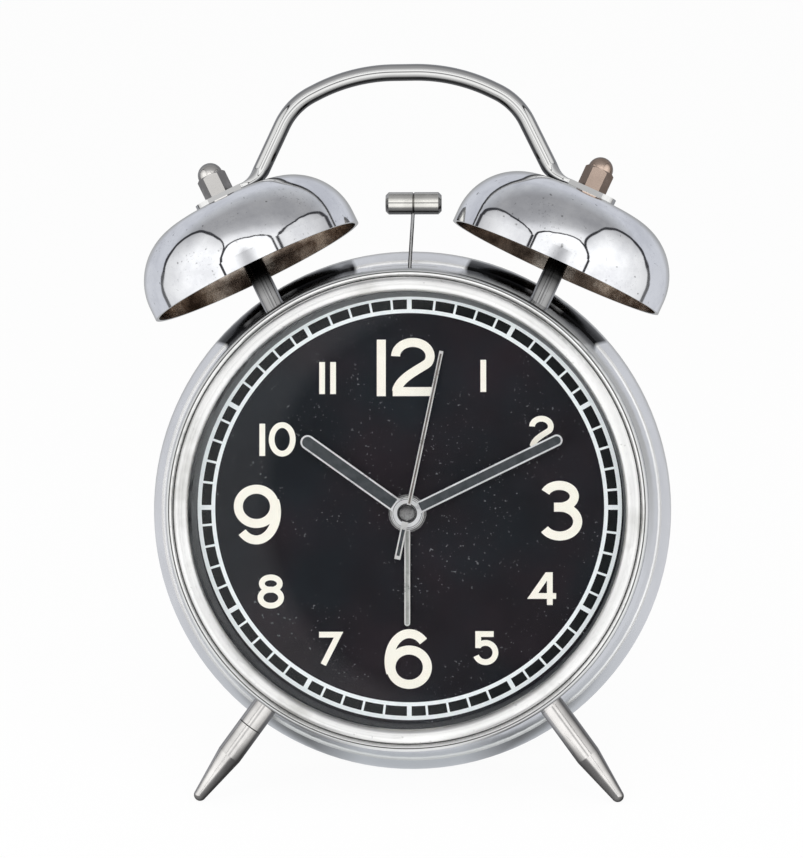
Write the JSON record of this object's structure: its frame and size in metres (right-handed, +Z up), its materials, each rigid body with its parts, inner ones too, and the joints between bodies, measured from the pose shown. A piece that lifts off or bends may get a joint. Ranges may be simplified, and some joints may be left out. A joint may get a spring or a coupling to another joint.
{
  "type": "twin bell alarm clock",
  "caption": "Analogue alarm clock: a round chromed metal case leaning back on tapered feet, domed bells on posts, a hammer between them and an arched carrying handle.",
  "frame": {"origin": "under the middle of the clock's box, on the surface that it stands on", "axes": "+X to the right as seen from the front, +Y to the rear, +Z up; the dial faces -Y and leans back, so its upper edge is further to the rear"},
  "size_m": [0.1196, 0.0682, 0.1617],
  "materials": {
    "case_chrome": "polished",
    "bezel_chrome": "polished",
    "rim_chrome": "polished",
    "bell_chrome": "polished",
    "handle_chrome": "polished",
    "post_chrome": "polished",
    "nut_chrome": "polished",
    "nut_bronze": "worn plating",
    "foot_steel": "turned",
    "hammer_steel": "turned",
    "wire_steel": "drawn",
    "lens_glass": "clear",
    "spacer_grey": "matt",
    "dial_black": "satin print",
    "hand_silver": "satin",
    "second_silver": "satin",
    "cap_black": "gloss",
    "hidden_steel": "plain",
    "magnet_iron": "dull",
    "movement_plastic": "matt",
    "wheel_plastic": "moulded",
    "arbor_brass": "satin",
    "coil_copper": "lacquered wire",
    "back_plastic": "fine grain",
    "knob_plastic": "gloss",
    "switch_plastic": "moulded",
    "cell_metal": "plain wrap",
    "contact_nickel": "nickel plated"
  },
  "bodies": {
    "base": {"case_body": "case_chrome", "front_bezel": "bezel_chrome", "front_lens": "lens_glass", "dial_spacer": "spacer_grey", "dial_plate": "dial_black", "rear_rim": "rim_chrome", "back_panel": "back_plastic", "battery_cell": "cell_metal", "battery_contact_plus": "contact_nickel", "battery_contact_minus": "contact_nickel", "back_panel_screws": "hidden_steel", "bushing_nut": "arbor_brass", "movement_front_half": "movement_plastic", "movement_mid_plate": "movement_plastic", "movement_rear_half": "movement_plastic", "stator": "magnet_iron", "stepping_coil": "coil_copper", "right_bell": "bell_chrome", "left_bell": "bell_chrome", "right_bell_post": "post_chrome", "left_bell_post": "post_chrome", "bell_washers": "nut_chrome", "bell_studs": "hidden_steel", "bell_stud_nuts": "hidden_steel", "right_domed_nut": "nut_bronze", "left_domed_nut": "nut_chrome", "handle": "handle_chrome", "hammer_pivot_pin": "hidden_steel", "hammer_bracket": "hidden_steel", "hammer_spring": "hidden_steel", "bracket_screws": "hidden_steel", "magnet_core": "magnet_iron", "coil_bobbin": "wheel_plastic", "coil_winding": "coil_copper", "right_foot": "foot_steel", "left_foot": "foot_steel", "foot_nuts": "hidden_steel"},
    "time_setter": {"setting_wheel": "wheel_plastic", "time_set_stem": "hidden_steel", "time_set_knob": "knob_plastic"},
    "minute_train": {"minute_hand": "hand_silver", "cannon_pinion": "arbor_brass"},
    "hour_train": {"hour_hand": "hand_silver", "hour_wheel": "wheel_plastic"},
    "alarm_setter": {"alarm_pinion": "wheel_plastic", "alarm_set_stem": "hidden_steel", "alarm_set_knob": "knob_plastic"},
    "alarm_pointer": {"alarm_hand": "second_silver", "alarm_wheel": "wheel_plastic"},
    "second_train": {"second_cap": "cap_black", "second_hand": "second_silver", "second_wheel": "arbor_brass"},
    "transfer": {"transfer_wheel": "wheel_plastic"},
    "rotor": {"step_rotor": "wheel_plastic"},
    "hammer": {"hammer_head": "hammer_steel", "hammer_wire": "wire_steel", "hammer_lever": "magnet_iron"},
    "switch": {"alarm_switch": "switch_plastic"},
    "door": {"battery_door": "back_plastic"}
  },
  "joints": [
    {"name": "time_set_turn", "type": "hinge", "parent": "base", "child": "time_setter", "pos_m": [0.0096, 0.0212, 0.0564], "axis": [0, 0.9777, -0.2101], "continuous": true},
    {"name": "minute_turn", "type": "hinge", "parent": "base", "child": "minute_train", "pos_m": [0, -0.01541, 0.06427], "axis": [0, 0.9777, -0.2101], "continuous": true},
    {"name": "hour_turn", "type": "hinge", "parent": "base", "child": "hour_train", "pos_m": [0, -0.01541, 0.06427], "axis": [0, 0.9777, -0.2101], "continuous": true},
    {"name": "alarm_set_turn", "type": "hinge", "parent": "base", "child": "alarm_setter", "pos_m": [-0.012, 0.0212, 0.0564], "axis": [0, 0.9777, -0.2101], "continuous": true},
    {"name": "alarm_turn", "type": "hinge", "parent": "base", "child": "alarm_pointer", "pos_m": [0, -0.01541, 0.06427], "axis": [0, 0.9777, -0.2101], "continuous": true},
    {"name": "second_turn", "type": "hinge", "parent": "base", "child": "second_train", "pos_m": [0, -0.01541, 0.06427], "axis": [0, 0.9777, -0.2101], "continuous": true},
    {"name": "transfer_turn", "type": "hinge", "parent": "base", "child": "transfer", "pos_m": [0, -0.00436, 0.07048], "axis": [0, 0.9777, -0.2101], "continuous": true},
    {"name": "rotor_turn", "type": "hinge", "parent": "base", "child": "rotor", "pos_m": [-0.00623, -0.00361, 0.074], "axis": [0, 0.9777, -0.2101], "continuous": true},
    {"name": "hammer_swing", "type": "hinge", "parent": "base", "child": "hammer", "pos_m": [-0.001, 0.00077, 0.09843], "axis": [0, 0.9777, -0.2101], "range_deg": [-11.8, 5.3], "stiffness_Nm_per_rad": 0.02, "springref_deg": -0.11, "deforming": ["hammer_spring"]},
    {"name": "alarm_switch_slide", "type": "slide", "parent": "base", "child": "switch", "axis": [1, 0, 0], "range_m": [0, 0.004]},
    {"name": "battery_door_hinge", "type": "hinge", "parent": "base", "child": "door", "pos_m": [0, 0.01397, 0.02609], "axis": [-1, 0, 0], "range_deg": [0, 70]}
  ],
  "couplings": [
    {"joint": "minute_turn", "follows": "time_set_turn", "ratio": -3},
    {"joint": "hour_turn", "follows": "time_set_turn", "ratio": -0.25},
    {"joint": "alarm_turn", "follows": "alarm_set_turn", "ratio": -0.25},
    {"joint": "transfer_turn", "follows": "second_turn", "ratio": -6},
    {"joint": "rotor_turn", "follows": "second_turn", "ratio": 30}
  ]
}
